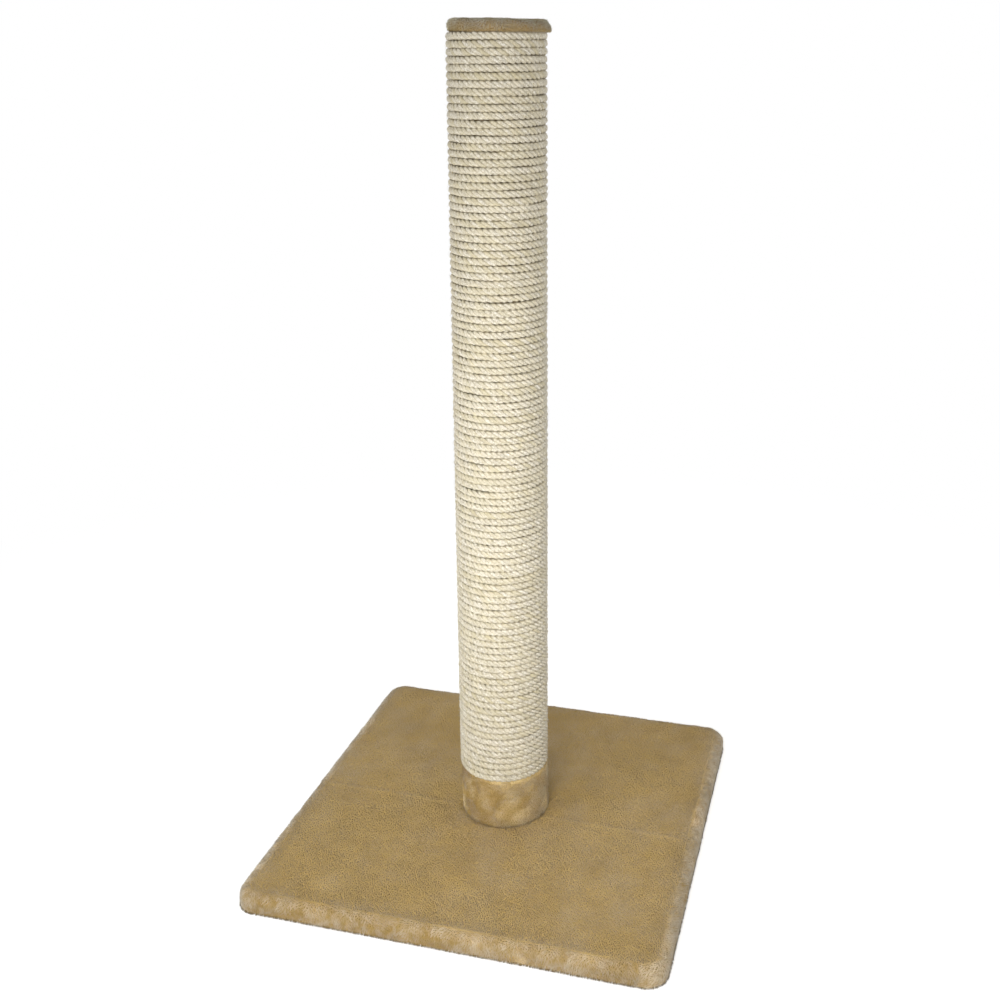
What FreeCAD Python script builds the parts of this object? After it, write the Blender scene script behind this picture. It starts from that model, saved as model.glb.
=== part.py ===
import FreeCAD, Part
import math
import os
from FreeCAD import Vector

# Cat scratching post: a plush-covered square base and an upright cardboard tube wound with
# sisal rope, with a plush collar at its foot and a small plush cap on its top.
# Millimetres, +Z up.  The origin is the middle of the base's underside, on the floor.
# The photographed front of the base faces -Y.

# Base
base_side = 500.0            # over the plush, front to back and left to right
base_corner = 26.0           # plan radius of the base's corners, over the plush
board_thickness = 16.0
board_top_round = 3.0
board_bottom_round = 1.5
plush_thickness = 4.2        # fabric and pile, lying on the board
margin_width = 30.0          # plush folded under the board
margin_thickness = 1.2       # the same fabric with its pile pressed flat
cover_bottom_round = 3.0
crushed_pile = 1.7           # plush that the post's end presses flat
felt_thickness = 1.0
felt_inset = 8.0             # felt edge, back from the base's side
felt_opening = 34.0          # round opening below the bolt

# Post
tube_diameter = 93.0
tube_wall = 4.5
tube_above_rope = 0.6        # tube end above the rope's last turn
bottom_plug_thickness = 18.0
top_plug_thickness = 15.0
collar_height = 62.4
collar_thickness = 6.9
collar_round = 3.0

# Sisal rope
rope_diameter = 8.0
rope_turns = 108
turn_gap = 0.15              # between neighbouring turns
glue_line = 0.3              # between the tube and the rope
climb_centre = 107.0         # azimuth of the stretch where each turn climbs to the next
climb_span = 90.0
climb_steps = 4
sweep_tolerance = 0.01

# Cap
cap_disc_thickness = 9.0
cap_disc_overhang = 3.5      # past the tube
cap_disc_round = 2.0
cap_pile_top = 5.1           # plush standing on the disc
cap_pile_side = 6.2          # plush standing out from the disc's edge
cap_shoulder = 8.0           # rounding from the cap's top into its side
cap_hem_round = 2.5
cap_ring_width = 7.0         # plush folded under the disc

# Fasteners
bolt_diameter = 8.0
bolt_length = 35.0
bolt_head_diameter = 17.0
bolt_head_height = 4.8
bolt_head_recess = 0.6       # below the board's underside
bolt_socket_width = 5.0      # across the flats
bolt_socket_depth = 3.0
washer_diameter = 24.0
washer_thickness = 1.6
counterbore_diameter = 26.0
bolt_hole_diameter = 9.0
tee_flange_diameter = 24.0
tee_flange_thickness = 1.5
tee_barrel_diameter = 10.0
tee_barrel_length = 10.0
tee_prong_length = 6.0
tee_prong_width = 3.0
tee_prong_thickness = 1.2
tee_prongs = 4
screw_diameter = 4.0
screw_length = 20.0
screw_head_diameter = 8.0
screw_head_height = 2.4
screw_circle = 50.0
screw_count = 3
staple_crown = 10.0
staple_wire_width = 1.2
staple_wire_thickness = 0.7
cover_staple_leg = 10.0
cover_staple_inset = 23.0    # from the base's side
cover_staple_spacing = 70.0
cover_staples_per_side = 7
felt_staple_leg = 8.0
felt_staple_inset = 15.0
felt_staple_spacing = 70.0
felt_staples_per_side = 6
felt_staple_recess = 0.2
plug_staple_leg = 12.0
plug_staples_around = 6
cap_staple_crown = 8.0
cap_staple_leg = 7.0
cap_staples_around = 6
rope_staple_leg = 11.0
rope_staple_recess = 0.5
rope_staple_from_end = 9.0   # along the rope
rope_staple_spacing = 22.0
rope_staples_per_end = 2

# Fits
fit = 0.1                    # fabric round what it wraps
plug_fit = 0.2               # plug in the tube
wire_fit = 0.05              # staple, prong, bolt or screw in its hole

# Levels and radii that follow from the sizes above
board_bottom = felt_thickness + margin_thickness
board_top = board_bottom + board_thickness
base_top = board_top + plush_thickness
post_bottom = board_top + crushed_pile
bottom_plug_top = post_bottom + bottom_plug_thickness
rope_bottom = base_top + collar_height
turn_pitch = rope_diameter + turn_gap
rope_top = rope_bottom + rope_diameter + (rope_turns - 1) * turn_pitch
tube_top = rope_top + tube_above_rope
cap_disc_bottom = tube_top + margin_thickness
cap_disc_top = cap_disc_bottom + cap_disc_thickness
cap_top = cap_disc_top + cap_pile_top
top_plug_bottom = cap_disc_bottom - top_plug_thickness
washer_bottom = board_bottom + bolt_head_recess + bolt_head_height
washer_top = washer_bottom + washer_thickness
board_side = base_side - 2 * plush_thickness
tube_radius = tube_diameter / 2
tube_inner_radius = tube_radius - tube_wall
plug_radius = tube_inner_radius - plug_fit
rope_radius = tube_radius + glue_line + rope_diameter / 2
cap_disc_radius = tube_radius + cap_disc_overhang
cap_ring_radius = cap_disc_radius - cap_ring_width
level_start = climb_centre + climb_span / 2
level_span = 360.0 - climb_span
ALONG_X = Vector(1, 0, 0)
ALONG_Y = Vector(0, 1, 0)
UP = Vector(0, 0, 1)


def around(radius, azimuth, z=0.0):
    """Point at a radius and azimuth (degrees) from the post's axis."""
    angle = math.radians(azimuth)
    return Vector(radius * math.cos(angle), radius * math.sin(angle), z)


def disc(radius, bottom, top):
    """Upright cylinder on the post's axis."""
    return Part.makeCylinder(radius, top - bottom, Vector(0, 0, bottom))


def ring(outer_radius, inner_radius, bottom, top):
    """Upright sleeve or washer on the post's axis."""
    return disc(outer_radius, bottom, top).cut(disc(inner_radius, bottom, top))


def edges_at(solid, z):
    """Edges of a solid that lie in the level plane z."""
    low = z - 1e-4
    high = z + 1e-4
    return [e for e in solid.Edges if e.BoundBox.ZMin > low and e.BoundBox.ZMax < high]


def rounded_slab(side, corner, bottom, top, bottom_round=0.0, top_round=0.0):
    """Square slab with rounded corners and, if asked for, rounded lower and upper edges."""
    half = side / 2
    slab = Part.makeBox(side, side, top - bottom, Vector(-half, -half, bottom))
    corners = [e for e in slab.Edges if e.BoundBox.ZLength > (top - bottom) / 2]
    slab = slab.makeFillet(corner, corners)
    if bottom_round:
        slab = slab.makeFillet(bottom_round, edges_at(slab, bottom))
    if top_round:
        slab = slab.makeFillet(top_round, edges_at(slab, top))
    return slab


def staple(at, crown_along, legs_into, crown, leg, grow=0.0, open_by=0.0):
    """U-shaped wire staple; its crown's outer face is centred at the point given.

    With grow it is the hole for the staple, which also opens outward past the crown.
    """
    half = crown / 2 + grow
    inner = crown / 2 - staple_wire_thickness - grow
    outside = -open_by
    inside = staple_wire_thickness + grow
    tip = leg + grow
    width = staple_wire_width + 2 * grow
    across = legs_into.cross(crown_along)
    profile = [(-half, outside), (half, outside), (half, tip), (inner, tip), (inner, inside),
               (-inner, inside), (-inner, tip), (-half, tip)]
    start = at - across * (width / 2)
    points = [start + crown_along * u + legs_into * v for u, v in profile]
    outline = Part.makePolygon(points + points[:1])
    return Part.Face(outline).extrude(across * width)


def staples(places, crown, leg):
    """The staples at a list of (point, crown direction, leg direction)."""
    return [staple(at, along, into, crown, leg) for at, along, into in places]


def staple_holes(places, crown, leg, open_by=wire_fit):
    """The holes for the same staples."""
    return [staple(at, along, into, crown, leg, wire_fit, open_by)
            for at, along, into in places]


def base_side_places(inset, spacing, count, z):
    """Staple places in a row along each of the base's four sides, pointing up."""
    reach = base_side / 2 - inset
    places = []
    for i in range(count):
        offset = (i - (count - 1) / 2) * spacing
        places.append((Vector(offset, -reach, z), ALONG_X, UP))
        places.append((Vector(offset, reach, z), ALONG_X, UP))
        places.append((Vector(-reach, offset, z), ALONG_Y, UP))
        places.append((Vector(reach, offset, z), ALONG_Y, UP))
    return places


def tube_wall_places(z):
    """Staple places round the tube's outside, crown upright, pointing at the axis."""
    places = []
    for i in range(plug_staples_around):
        azimuth = 360.0 * i / plug_staples_around
        places.append((around(tube_radius, azimuth, z), UP, around(-1, azimuth)))
    return places


def rope_end_places():
    """Staple places on the rope's outside, two at each end, pointing at the axis."""
    reach = tube_radius + glue_line + rope_diameter - rope_staple_recess
    lowest = rope_bottom + rope_diameter / 2
    highest = rope_top - rope_diameter / 2
    lower = []
    upper = []
    for i in range(rope_staples_per_end):
        turned = math.degrees((rope_staple_from_end + i * rope_staple_spacing) / rope_radius)
        first = level_start + turned
        last = level_start + level_span - turned
        lower.append((around(reach, first, lowest), around(1, first + 90), around(-1, first)))
        upper.append((around(reach, last, highest), around(1, last + 90), around(-1, last)))
    return lower, upper


# Where every staple goes
cover_places = base_side_places(cover_staple_inset, cover_staple_spacing,
                                cover_staples_per_side, felt_thickness)
felt_places = base_side_places(felt_staple_inset, felt_staple_spacing,
                               felt_staples_per_side, felt_staple_recess)
bottom_plug_places = tube_wall_places(post_bottom + bottom_plug_thickness / 2)
top_plug_places = tube_wall_places((top_plug_bottom + tube_top) / 2)
lower_rope_places, upper_rope_places = rope_end_places()
cap_staple_radius = (cap_ring_radius + tube_radius) / 2
cap_places = [(around(cap_staple_radius, 360.0 * (i + 0.5) / cap_staples_around, tube_top),
               around(1, 360.0 * (i + 0.5) / cap_staples_around + 90), UP)
              for i in range(cap_staples_around)]

cover_holes = staple_holes(cover_places, staple_crown, cover_staple_leg)
felt_holes = staple_holes(felt_places, staple_crown, felt_staple_leg,
                          felt_staple_recess + wire_fit)
bottom_plug_holes = staple_holes(bottom_plug_places, staple_crown, plug_staple_leg)
top_plug_holes = staple_holes(top_plug_places, staple_crown, plug_staple_leg)
lower_rope_holes = staple_holes(lower_rope_places, staple_crown, rope_staple_leg,
                                2 * rope_staple_recess)
upper_rope_holes = staple_holes(upper_rope_places, staple_crown, rope_staple_leg,
                                2 * rope_staple_recess)
cap_holes = staple_holes(cap_places, cap_staple_crown, cap_staple_leg)


def base_board():
    """Chipboard square, drilled and counterbored from below for the post's bolt."""
    board = rounded_slab(board_side, base_corner - plush_thickness, board_bottom, board_top,
                         board_bottom_round, board_top_round)
    counterbore = disc(counterbore_diameter / 2, board_bottom, washer_top)
    bore = disc(bolt_hole_diameter / 2, board_bottom, board_top)
    return board.cut([counterbore, bore] + cover_holes + felt_holes)


def base_plush_cover():
    """Plush over the board's top and sides, with its margins folded under the board."""
    outside = rounded_slab(base_side, base_corner, felt_thickness, base_top,
                           cover_bottom_round, board_top_round + plush_thickness)
    cavity = rounded_slab(board_side + 2 * fit, base_corner - plush_thickness + fit,
                          board_bottom, board_top, board_bottom_round, board_top_round)
    opening_side = board_side - 2 * margin_width
    opening = rounded_slab(opening_side, base_corner, felt_thickness, board_bottom)
    pocket = disc(tube_radius + fit, post_bottom, base_top)
    bore = disc(bolt_hole_diameter / 2, board_top, base_top)
    return outside.cut([cavity, opening, pocket, bore] + cover_holes + felt_holes)


def underside_felt():
    """Black non-woven sheet that covers the folded margins and lies on the floor."""
    side = base_side - 2 * felt_inset
    sheet = rounded_slab(side, base_corner - felt_inset, 0.0, felt_thickness)
    access = disc(felt_opening / 2, 0.0, felt_thickness)
    return sheet.cut([access] + felt_holes)


def hexagon(width, bottom, top):
    """Upright hexagonal prism of a width across its flats."""
    corner_radius = width / math.sqrt(3)
    points = [around(corner_radius, 60.0 * i, bottom) for i in range(6)]
    outline = Part.makePolygon(points + points[:1])
    return Part.Face(outline).extrude(UP * (top - bottom))


def base_bolt():
    """Flat-head furniture bolt with a hexagon socket, put in from below."""
    head_bottom = washer_bottom - bolt_head_height
    head = disc(bolt_head_diameter / 2, head_bottom, washer_bottom)
    shank = disc(bolt_diameter / 2, washer_bottom, washer_bottom + bolt_length)
    socket = hexagon(bolt_socket_width, head_bottom, head_bottom + bolt_socket_depth)
    return head.fuse(shank).removeSplitter().cut(socket)


def base_washer():
    return ring(washer_diameter / 2, bolt_hole_diameter / 2, washer_bottom, washer_top)


def prong(azimuth, grow=0.0):
    """One prong of the tee nut, driven down into the bottom plug."""
    outer = tee_flange_diameter / 2 + grow
    inner = tee_flange_diameter / 2 - tee_prong_thickness - grow
    width = tee_prong_width + 2 * grow
    height = tee_prong_length + grow
    corner = Vector(inner, -width / 2, bottom_plug_top - height)
    box = Part.makeBox(outer - inner, width, height, corner)
    box.rotate(Vector(0, 0, 0), UP, azimuth)
    return box


def post_tee_nut():
    """Tee nut set in the bottom plug from the tube's inside; the bolt pulls on it."""
    flange_top = bottom_plug_top + tee_flange_thickness
    flange = disc(tee_flange_diameter / 2, bottom_plug_top, flange_top)
    barrel = disc(tee_barrel_diameter / 2, bottom_plug_top - tee_barrel_length,
                  bottom_plug_top)
    rim = disc(tee_flange_diameter / 2, bottom_plug_top - tee_prong_length, bottom_plug_top)
    prongs = [prong(360.0 * i / tee_prongs).common(rim) for i in range(tee_prongs)]
    bore = disc(bolt_diameter / 2 + wire_fit, bottom_plug_top - tee_barrel_length, flange_top)
    return flange.fuse([barrel] + prongs).removeSplitter().cut(bore)


def bottom_plug():
    """Plywood disc in the tube's foot."""
    plug = disc(plug_radius, post_bottom, bottom_plug_top)
    bore = disc(bolt_hole_diameter / 2, post_bottom, bottom_plug_top)
    barrel_hole = disc(tee_barrel_diameter / 2 + wire_fit,
                       bottom_plug_top - tee_barrel_length - wire_fit, bottom_plug_top)
    prong_holes = [prong(360.0 * i / tee_prongs, wire_fit) for i in range(tee_prongs)]
    return plug.cut([bore, barrel_hole] + prong_holes + bottom_plug_holes)


def post_tube():
    """Cardboard tube that carries everything above the base."""
    tube = ring(tube_radius, tube_inner_radius, post_bottom, tube_top)
    return tube.cut(bottom_plug_holes + top_plug_holes + lower_rope_holes + upper_rope_holes)


def collar_plush():
    """Sleeve of plush round the tube's foot, between the base and the rope's first turn."""
    outer_radius = tube_radius + fit + collar_thickness
    sleeve = disc(outer_radius, base_top, rope_bottom)
    sleeve = sleeve.makeFillet(collar_round, edges_at(sleeve, base_top)
                               + edges_at(sleeve, rope_bottom))
    return sleeve.cut(disc(tube_radius + fit, base_top, rope_bottom))


def rope_turn(z, climbs):
    """One turn of rope: level round the front, then climbing to the next turn if it climbs."""
    level_end = level_start + level_span
    edges = [Part.Arc(around(rope_radius, level_start, z),
                      around(rope_radius, level_start + level_span / 2, z),
                      around(rope_radius, level_end, z)).toShape()]
    if climbs:
        points = []
        for i in range(climb_steps + 1):
            share = i / climb_steps
            rise = turn_pitch * share * share * (3 - 2 * share)
            points.append(around(rope_radius, level_end + climb_span * share, z + rise))
        climb = Part.BSplineCurve()
        climb.interpolate(Points=points, InitialTangent=around(1, level_end + 90),
                          FinalTangent=around(1, level_start + 90), Scale=False)
        edges.append(climb.toShape())
    section = Part.Circle(around(rope_radius, level_start, z), around(1, level_start + 90),
                          rope_diameter / 2)
    sweep = Part.BRepOffsetAPI.MakePipeShell(Part.Wire(edges))
    sweep.setBiNormalMode(UP)
    sweep.setTolerance(sweep_tolerance, sweep_tolerance, sweep_tolerance)
    sweep.add(Part.Wire([section.toShape()]))
    sweep.build()
    sweep.makeSolid()
    return sweep.shape()


def rope_ends(length):
    """The two round faces across a length of rope, the one where it starts first."""
    start = around(rope_radius, level_start)
    area = math.pi * rope_diameter ** 2 / 4
    flat = [f for f in length.Faces if f.Surface.TypeId == "Part::GeomPlane"]
    ends = [f for f in flat if abs(f.Area - area) < area / 1000]

    def order(face):
        centre = face.CenterOfMass
        return round(centre.z, 3), math.hypot(centre.x - start.x, centre.y - start.y)

    return sorted(ends, key=order)


def faces_without(length, dropped):
    return [f for f in length.Faces if not any(f.isSame(d) for d in dropped)]


def sisal_rope():
    """The whole rope as one solid, wound up the tube from the collar to the cap."""
    lowest = rope_bottom + rope_diameter / 2
    turn = rope_turn(lowest, True)
    first = turn.cut(lower_rope_holes)
    last = rope_turn(lowest + (rope_turns - 1) * turn_pitch, False).cut(upper_rope_holes)
    faces = faces_without(first, rope_ends(first)[1:])
    middle = faces_without(turn, rope_ends(turn))
    for i in range(1, rope_turns - 1):
        faces += [f.translated(UP * (i * turn_pitch)) for f in middle]
    faces += faces_without(last, rope_ends(last)[:1])
    shell = Part.makeShell(faces)
    shell.sewShape(2 * sweep_tolerance)
    return Part.makeSolid(shell)


def top_plug():
    """Disc in the tube's head that carries the cap."""
    plug = disc(plug_radius, top_plug_bottom, cap_disc_bottom)
    return plug.cut(screw_holes() + top_plug_holes)


def screw(azimuth, grow=0.0):
    """Countersunk wood screw, driven up through the top plug into the cap disc."""
    at = around(screw_circle / 2, azimuth, top_plug_bottom)
    head = Part.makeCone(screw_head_diameter / 2 + grow, screw_diameter / 2 + grow,
                         screw_head_height, at)
    point_length = screw_diameter / 2
    shank = Part.makeCylinder(screw_diameter / 2 + grow, screw_length - point_length + grow, at)
    point = Part.makeCone(screw_diameter / 2 + grow, 0.0, point_length + grow,
                          at + UP * (screw_length - point_length + grow))
    return head.fuse([shank, point]).removeSplitter()


def screw_holes():
    return [screw(360.0 * i / screw_count, wire_fit) for i in range(screw_count)]


def cap_disc():
    """Round of board on the tube's end."""
    board = disc(cap_disc_radius, cap_disc_bottom, cap_disc_top)
    board = board.makeFillet(cap_disc_round, edges_at(board, cap_disc_top))
    return board.cut(screw_holes() + cap_holes)


def cap_plush():
    """Plush drawn over the cap disc and folded under its rim."""
    outer_radius = cap_disc_radius + cap_pile_side
    outside = disc(outer_radius, tube_top, cap_top)
    outside = outside.makeFillet(cap_shoulder, edges_at(outside, cap_top))
    outside = outside.makeFillet(cap_hem_round, edges_at(outside, tube_top))
    cavity = disc(cap_disc_radius + fit, cap_disc_bottom, cap_disc_top)
    cavity = cavity.makeFillet(cap_disc_round, edges_at(cavity, cap_disc_top))
    opening = disc(cap_ring_radius, tube_top, cap_disc_bottom)
    return outside.cut([cavity, opening] + cap_holes)


os.makedirs("parts", exist_ok=True)
single_solids = {
    "base_board": base_board(),
    "base_plush_cover": base_plush_cover(),
    "underside_felt": underside_felt(),
    "base_bolt": base_bolt(),
    "base_washer": base_washer(),
    "post_tee_nut": post_tee_nut(),
    "bottom_plug": bottom_plug(),
    "post_tube": post_tube(),
    "collar_plush": collar_plush(),
    "sisal_rope": sisal_rope(),
    "top_plug": top_plug(),
    "cap_disc": cap_disc(),
    "cap_plush": cap_plush(),
}
groups = {
    "cover_staples": staples(cover_places, staple_crown, cover_staple_leg),
    "felt_staples": staples(felt_places, staple_crown, felt_staple_leg),
    "bottom_plug_staples": staples(bottom_plug_places, staple_crown, plug_staple_leg),
    "top_plug_staples": staples(top_plug_places, staple_crown, plug_staple_leg),
    "rope_end_staples": staples(lower_rope_places + upper_rope_places, staple_crown,
                                rope_staple_leg),
    "cap_staples": staples(cap_places, cap_staple_crown, cap_staple_leg),
    "cap_screws": [screw(360.0 * i / screw_count) for i in range(screw_count)],
}
for name, solid in single_solids.items():
    solid.exportStep(f"parts/{name}.step")
    print(name, solid.isValid(), len(solid.Solids), round(solid.Volume / 1000, 2), "cm3")
for name, solids in groups.items():
    group = Part.makeCompound(solids)
    group.exportStep(f"parts/{name}.step")
    print(name, group.isValid(), len(group.Solids), round(group.Volume / 1000, 3), "cm3")
print("height", round(cap_top, 2), "rope top", round(rope_top, 2))
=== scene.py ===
import math

import bmesh
import bpy
import numpy as np
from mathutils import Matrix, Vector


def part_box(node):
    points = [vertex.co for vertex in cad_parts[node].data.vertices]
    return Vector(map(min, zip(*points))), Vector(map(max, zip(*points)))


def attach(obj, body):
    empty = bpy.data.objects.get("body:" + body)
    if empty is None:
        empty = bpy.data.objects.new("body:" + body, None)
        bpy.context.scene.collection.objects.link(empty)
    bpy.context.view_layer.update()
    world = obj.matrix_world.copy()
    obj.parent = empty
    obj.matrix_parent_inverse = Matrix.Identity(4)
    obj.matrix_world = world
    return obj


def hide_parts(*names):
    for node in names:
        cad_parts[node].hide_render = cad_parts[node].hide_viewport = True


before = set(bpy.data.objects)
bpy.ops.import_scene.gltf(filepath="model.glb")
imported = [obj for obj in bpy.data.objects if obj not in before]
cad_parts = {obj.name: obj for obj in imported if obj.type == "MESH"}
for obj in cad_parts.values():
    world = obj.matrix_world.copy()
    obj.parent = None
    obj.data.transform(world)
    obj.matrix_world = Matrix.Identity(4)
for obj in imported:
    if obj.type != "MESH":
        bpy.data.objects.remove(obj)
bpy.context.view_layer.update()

# Camera: at the photograph's viewing angle, a little above the middle of the post and to the
# right of its front. The photograph is a crop, so the optical axis is off the picture's middle.
camera_data = bpy.data.cameras.new("camera")
camera_data.sensor_width = 36.0
camera_data.lens = 44.61
camera_data.shift_x = -0.05
camera_data.shift_y = -0.1187
camera_data.clip_end = 60.0
camera = bpy.data.objects.new("camera", camera_data)
camera.location = (0.40852, -1.31700, 0.95726)
camera.rotation_euler = (math.radians(90 - 15.434), 0.0, math.radians(14.847))
bpy.context.scene.collection.objects.link(camera)
bpy.context.scene.camera = camera
bpy.context.scene.view_settings.view_transform = "Standard"


# Studio: a plain pale floor that fades into the white round it, soft lamps at the front, left and
# right of the camera and low between them, a weak one behind, and an even pale room.
def linear(colour):
    """An sRGB hex value as linear red, green, blue and alpha."""
    parts = [int(colour[i:i + 2], 16) / 255 for i in (1, 3, 5)]
    return tuple(p / 12.92 if p <= 0.04045 else ((p + 0.055) / 1.055) ** 2.4
                 for p in parts) + (1.0,)


def add(tree, kind, inputs=None, **settings):
    """Adds a shader node; inputs gives its sockets' values, or the outputs that feed them."""
    node = tree.nodes.new("ShaderNode" + kind)
    for name, value in settings.items():
        setattr(node, name, value)
    for socket, value in (inputs or {}).items():
        if isinstance(value, bpy.types.NodeSocket):
            tree.links.new(value, node.inputs[socket])
        else:
            node.inputs[socket].default_value = value
    return node


def mixed(tree, share, first, second, blend="MIX"):
    """The output of a node that mixes two colours."""
    return add(tree, "Mix", {0: share, 6: first, 7: second}, data_type="RGBA",
               blend_type=blend).outputs[2]


def seen_directly(tree):
    """One for what the camera sees, also in a mirror or through glass, and nought for light."""
    path = add(tree, "LightPath").outputs
    either = add(tree, "Math", {0: path["Is Camera Ray"], 1: path["Is Glossy Ray"]},
                 operation="MAXIMUM").outputs[0]
    return add(tree, "Math", {0: either, 1: path["Is Transmission Ray"]},
               operation="MAXIMUM").outputs[0]


room_light = 0.44
world = bpy.data.worlds.new("white_room")
world.use_nodes = True
room = world.node_tree
room.nodes.clear()
even = add(room, "Background", {"Color": linear("#fffdfa"), "Strength": room_light})
white = add(room, "Background", {"Color": (1, 1, 1, 1), "Strength": 1.0})
both = add(room, "MixShader", {0: seen_directly(room), 1: even.outputs[0], 2: white.outputs[0]})
add(room, "OutputWorld", {"Surface": both.outputs[0]})
bpy.context.scene.world = world

floor_radius = 12.0
lit_radius = 0.75            # the floor shows shadow as far as this, and is plain white by ...
white_radius = 1.35          # ... this far from the middle
floor_form = bmesh.new()
bmesh.ops.create_circle(floor_form, cap_ends=True, segments=96, radius=floor_radius)
floor_mesh = bpy.data.meshes.new("floor")
floor_form.to_mesh(floor_mesh)
floor_form.free()
floor = bpy.data.objects.new("floor", floor_mesh)
bpy.context.scene.collection.objects.link(floor)
floor_paint = bpy.data.materials.new("matt white floor paint")
floor_paint.use_nodes = True
tree = floor_paint.node_tree
tree.nodes.clear()
place = add(tree, "TexCoord").outputs["Object"]
away = add(tree, "VectorMath", {0: place}, operation="LENGTH").outputs["Value"]
fade = add(tree, "MapRange", {"Value": away, "From Min": lit_radius, "From Max": white_radius},
           interpolation_type="SMOOTHSTEP").outputs[0]
paint = add(tree, "BsdfDiffuse", {"Color": linear("#f2f1ee")})
glow = add(tree, "Emission", {"Color": (1, 1, 1, 1), "Strength": 0.58})
glow_off = add(tree, "Emission", {"Color": (1, 1, 1, 1), "Strength": 0.0})
lift = add(tree, "MixShader", {0: seen_directly(tree), 1: glow_off.outputs[0],
                               2: glow.outputs[0]})
shaded = add(tree, "AddShader", {0: paint.outputs[0], 1: lift.outputs[0]})
far_glow = add(tree, "Emission", {"Color": (1, 1, 1, 1), "Strength": 1.0})
faded = add(tree, "MixShader", {0: fade, 1: shaded.outputs[0], 2: far_glow.outputs[0]})
light_side = add(tree, "MixShader", {0: seen_directly(tree), 1: paint.outputs[0],
                                     2: faded.outputs[0]})
add(tree, "OutputMaterial", {"Surface": light_side.outputs[0]})
floor_mesh.materials.append(floor_paint)

lamp_target = 0.42           # height that the lamps point at
for name, azimuth, distance, height, size, spread, power in [
    ("soft_lamp_left", -127.0, 1.60, 1.00, 0.30, 180.0, 4.7),
    ("soft_lamp_right", -42.0, 1.55, 0.90, 0.30, 180.0, 4.3),
    ("soft_lamp_front", -85.0, 0.95, 0.50, 0.35, 100.0, 2.0),
    ("soft_lamp_back", 85.0, 1.80, 0.90, 0.60, 180.0, 2.0),
]:
    lamp_data = bpy.data.lights.new(name, "AREA")
    lamp_data.shape = "SQUARE"
    lamp_data.size = size
    lamp_data.spread = math.radians(spread)
    lamp_data.energy = power
    lamp = bpy.data.objects.new(name, lamp_data)
    turn = math.radians(azimuth)
    lamp.location = (distance * math.cos(turn), distance * math.sin(turn), height)
    down = math.atan2(distance, height - lamp_target)
    lamp.rotation_euler = (down, 0.0, turn + math.pi / 2)
    bpy.context.scene.collection.objects.link(lamp)


# Base board, plugs and cap disc: raw chipboard and birch plywood, sawn and drilled. They lie
# under the plush or in the tube, and keep the frame's own shape.
def material(name):
    """A new material and its empty node tree."""
    made = bpy.data.materials.new(name)
    made.use_nodes = True
    made.node_tree.nodes.clear()
    return made, made.node_tree


def dress(node, finish):
    """Gives a CAD node its finish."""
    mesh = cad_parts[node].data
    mesh.materials.clear()
    mesh.materials.append(finish)


# Chipboard: flakes 2 to 6 mm wide pressed with resin, sawn; matt, speckled pale and brown.
chipboard, tree = material("raw chipboard")
place = add(tree, "TexCoord").outputs["Object"]
flakes = add(tree, "TexVoronoi", {"Vector": place, "Scale": 1 / 0.004, "Randomness": 1.0})
fines = add(tree, "TexNoise", {"Vector": place, "Scale": 1 / 0.0012, "Detail": 3.0})
flake_tint = add(tree, "SeparateColor", {0: flakes.outputs["Color"]}).outputs[0]
wood = mixed(tree, flake_tint, linear("#b58f60"), linear("#dcc095"))
wood = mixed(tree, fines.outputs[0], wood, linear("#a27a4c"), "MULTIPLY")
wood = mixed(tree, 0.6, wood, linear("#d3b588"))
bumps = add(tree, "Bump", {"Strength": 0.4, "Distance": 0.0004,
                           "Height": flakes.outputs["Distance"]})
board = add(tree, "BsdfPrincipled", {"Base Color": wood, "Roughness": 0.85,
                                     "Normal": bumps.outputs[0]})
add(tree, "OutputMaterial", {"Surface": board.outputs[0]})
dress("base_board", chipboard)

# Birch plywood: rotary-cut face veneer, sanded; pale with long faint grain 1.5 mm wide.
plywood, tree = material("sanded birch plywood")
place = add(tree, "TexCoord").outputs["Object"]
along_grain = add(tree, "Mapping", {"Vector": place, "Scale": (1.0, 12.0, 12.0)})
grain = add(tree, "TexNoise", {"Vector": along_grain.outputs[0], "Scale": 1 / 0.018,
                               "Detail": 5.0, "Distortion": 0.6})
wood = mixed(tree, grain.outputs[0], linear("#e2c79b"), linear("#b98f5e"))
bumps = add(tree, "Bump", {"Strength": 0.25, "Distance": 0.0002, "Height": grain.outputs[0]})
veneer = add(tree, "BsdfPrincipled", {"Base Color": wood, "Roughness": 0.7,
                                      "Normal": bumps.outputs[0]})
add(tree, "OutputMaterial", {"Surface": veneer.outputs[0]})
for node in ("bottom_plug", "top_plug", "cap_disc"):
    dress(node, plywood)

# Underside felt: thin black spun non-woven, matt, with a fibre web that catches a little light.
felt, tree = material("black non-woven felt")
place = add(tree, "TexCoord").outputs["Object"]
web = add(tree, "TexNoise", {"Vector": place, "Scale": 1 / 0.0015, "Detail": 6.0,
                             "Distortion": 2.5})
dots = add(tree, "TexVoronoi", {"Vector": place, "Scale": 1 / 0.0022, "Randomness": 0.3})
black = mixed(tree, web.outputs[0], linear("#121213"), linear("#35353a"))
bumps = add(tree, "Bump", {"Strength": 0.5, "Distance": 0.0003,
                           "Height": dots.outputs["Distance"]})
cloth = add(tree, "BsdfPrincipled", {"Base Color": black, "Roughness": 0.9, "Sheen Weight": 0.3,
                                     "Normal": bumps.outputs[0]})
add(tree, "OutputMaterial", {"Surface": cloth.outputs[0]})
dress("underside_felt", felt)

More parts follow.
